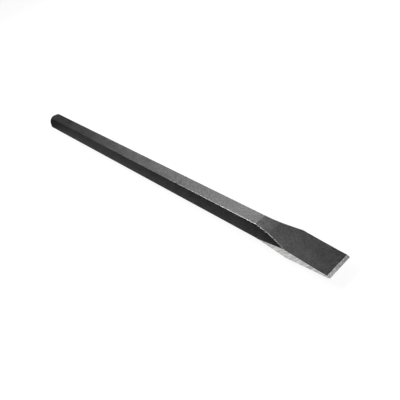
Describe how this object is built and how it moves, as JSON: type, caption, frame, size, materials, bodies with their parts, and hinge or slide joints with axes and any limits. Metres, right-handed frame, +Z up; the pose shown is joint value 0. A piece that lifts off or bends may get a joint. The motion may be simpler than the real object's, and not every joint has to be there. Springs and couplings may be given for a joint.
{
  "type": "cold chisel",
  "caption": "Long cold chisel forged in one piece from hexagonal bar, with a chamfered struck end, a wedge-shaped flat blade, ground flanks and a double-bevelled cutting edge.",
  "frame": {"origin": "on the surface the bar lies on, under the middle of the chisel's length and width", "axes": "+X along the bar towards the cutting edge, +Z up, away from the flat it lies on"},
  "size_m": [0.4572, 0.0222, 0.0191],
  "materials": {
    "blackened_steel": "black oxide, satin, with the blade's flanks and the cutting bevels ground bright"
  },
  "bodies": {
    "root": {"chisel": "blackened_steel"}
  },
  "joints": []
}
